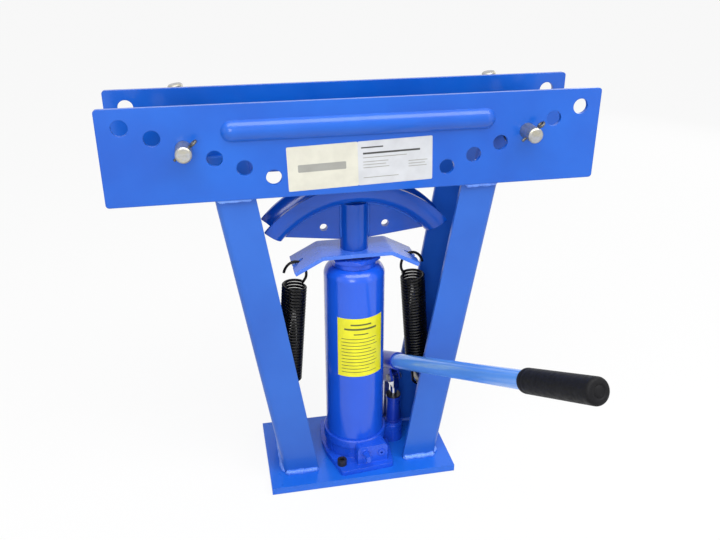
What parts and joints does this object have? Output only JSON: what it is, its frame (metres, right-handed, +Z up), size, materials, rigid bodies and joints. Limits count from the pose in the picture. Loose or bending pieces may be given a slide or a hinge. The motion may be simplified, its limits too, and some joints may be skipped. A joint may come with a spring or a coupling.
{
  "type": "hydraulic pipe bender",
  "caption": "Bench pipe bender: a welded frame with pinned rollers, a bottle jack with a lever pump, an arc-shaped bending die on its ram and return springs.",
  "frame": {"origin": "centre of the base plate's underside", "axes": "+X along the beams to the side of the pump, -Y to the operator's side where the handle points, +Z up"},
  "size_m": [0.58, 0.4609, 0.5228],
  "materials": {
    "frame_paint": "smooth blue powder coat",
    "jack_paint": "glossy blue paint over cast and turned steel",
    "zinc_plate": "bright zinc plate",
    "black_paint": "semi-gloss black coating",
    "black_steel": "blackened steel",
    "rubber": "matt black rubber",
    "ground_steel": "ground steel",
    "chrome": "polished hard chrome"
  },
  "bodies": {
    "frame": {"base_plate": "frame_paint", "left_leg": "frame_paint", "right_leg": "frame_paint", "front_beam_plate": "frame_paint", "rear_beam_plate": "frame_paint", "left_spring_rod": "zinc_plate", "right_spring_rod": "zinc_plate", "jack_casting": "jack_paint", "jack_tank": "frame_paint", "pressure_cylinder": "ground_steel", "top_nut": "jack_paint", "ram_wiper": "rubber", "foot_bolts": "black_steel", "safety_valve_plug": "jack_paint", "filler_plug": "rubber", "pump_cylinder": "jack_paint", "pump_gland": "rubber", "link_foot_pin": "zinc_plate", "left_spring": "black_paint", "right_spring": "black_paint"},
    "ram": {"jack_ram": "chrome", "ram_seal": "rubber", "spring_bracket": "frame_paint"},
    "die": {"bending_die": "frame_paint"},
    "piston": {"pump_piston": "chrome"},
    "lever": {"handle_socket": "jack_paint", "lever_link_pin": "zinc_plate", "lever_piston_pin": "zinc_plate", "lever_pin_clips": "black_steel"},
    "handle": {"handle_tube": "frame_paint", "handle_grip": "rubber"},
    "link": {"link_bar": "zinc_plate"},
    "release": {"release_valve": "jack_paint"},
    "left_pin": {"left_roller_pin": "zinc_plate"},
    "right_pin": {"right_roller_pin": "zinc_plate"},
    "left_roller_body": {"left_roller": "black_paint"},
    "right_roller_body": {"right_roller": "black_paint"},
    "left_cotter_body": {"left_cotter": "zinc_plate"},
    "right_cotter_body": {"right_cotter": "zinc_plate"}
  },
  "joints": [
    {"name": "ram_lift", "type": "slide", "parent": "frame", "child": "ram", "axis": [0, 0, 1], "range_m": [0, 0.15], "deforming": ["left_spring", "right_spring"]},
    {"name": "die_lift", "type": "slide", "parent": "ram", "child": "die", "axis": [0, 0, 1], "range_m": [0, 0.045]},
    {"name": "pump_lever", "type": "hinge", "parent": "piston", "child": "lever", "pos_m": [0.05753, 0.00554, 0.113], "axis": [-0.9724, -0.2334, 0], "range_deg": [-10, 22]},
    {"name": "pump_stroke", "type": "slide", "parent": "frame", "child": "piston", "axis": [0, 0, 1], "range_m": [-0.0045, 0.0095]},
    {"name": "link_swing", "type": "hinge", "parent": "frame", "child": "link", "pos_m": [0.05099, 0.03278, 0.028], "axis": [-0.9724, -0.2334, 0], "range_deg": [-4.5, 2.2]},
    {"name": "handle_pull", "type": "slide", "parent": "lever", "child": "handle", "axis": [0.2111, -0.8791, 0.4274], "range_m": [0, 0.03]},
    {"name": "release_turn", "type": "hinge", "parent": "frame", "child": "release", "pos_m": [0.00437, -0.05584, 0.034], "axis": [0.0958, -0.9954, 0], "range_deg": [0, 180]},
    {"name": "left_pin_turn", "type": "hinge", "parent": "frame", "child": "left_pin", "pos_m": [-0.2, 0, 0.4752], "axis": [0, 1, 0], "continuous": true},
    {"name": "left_roller_spin", "type": "hinge", "parent": "left_pin", "child": "left_roller_body", "pos_m": [-0.2, 0, 0.4752], "axis": [0, 1, 0], "continuous": true},
    {"name": "left_cotter_pull", "type": "slide", "parent": "left_pin", "child": "left_cotter_body", "axis": [0.766, 0, 0.6428], "range_m": [0, 0.03]},
    {"name": "right_pin_turn", "type": "hinge", "parent": "frame", "child": "right_pin", "pos_m": [0.2, 0, 0.4752], "axis": [0, 1, 0], "continuous": true},
    {"name": "right_roller_spin", "type": "hinge", "parent": "right_pin", "child": "right_roller_body", "pos_m": [0.2, 0, 0.4752], "axis": [0, 1, 0], "continuous": true},
    {"name": "right_cotter_pull", "type": "slide", "parent": "right_pin", "child": "right_cotter_body", "axis": [0.766, 0, 0.6428], "range_m": [0, 0.03]}
  ],
  "couplings": [
    {"joint": "pump_stroke", "follows": "pump_lever", "m_per_rad": 0.0238},
    {"joint": "link_swing", "follows": "pump_lever", "ratio": -0.19}
  ]
}
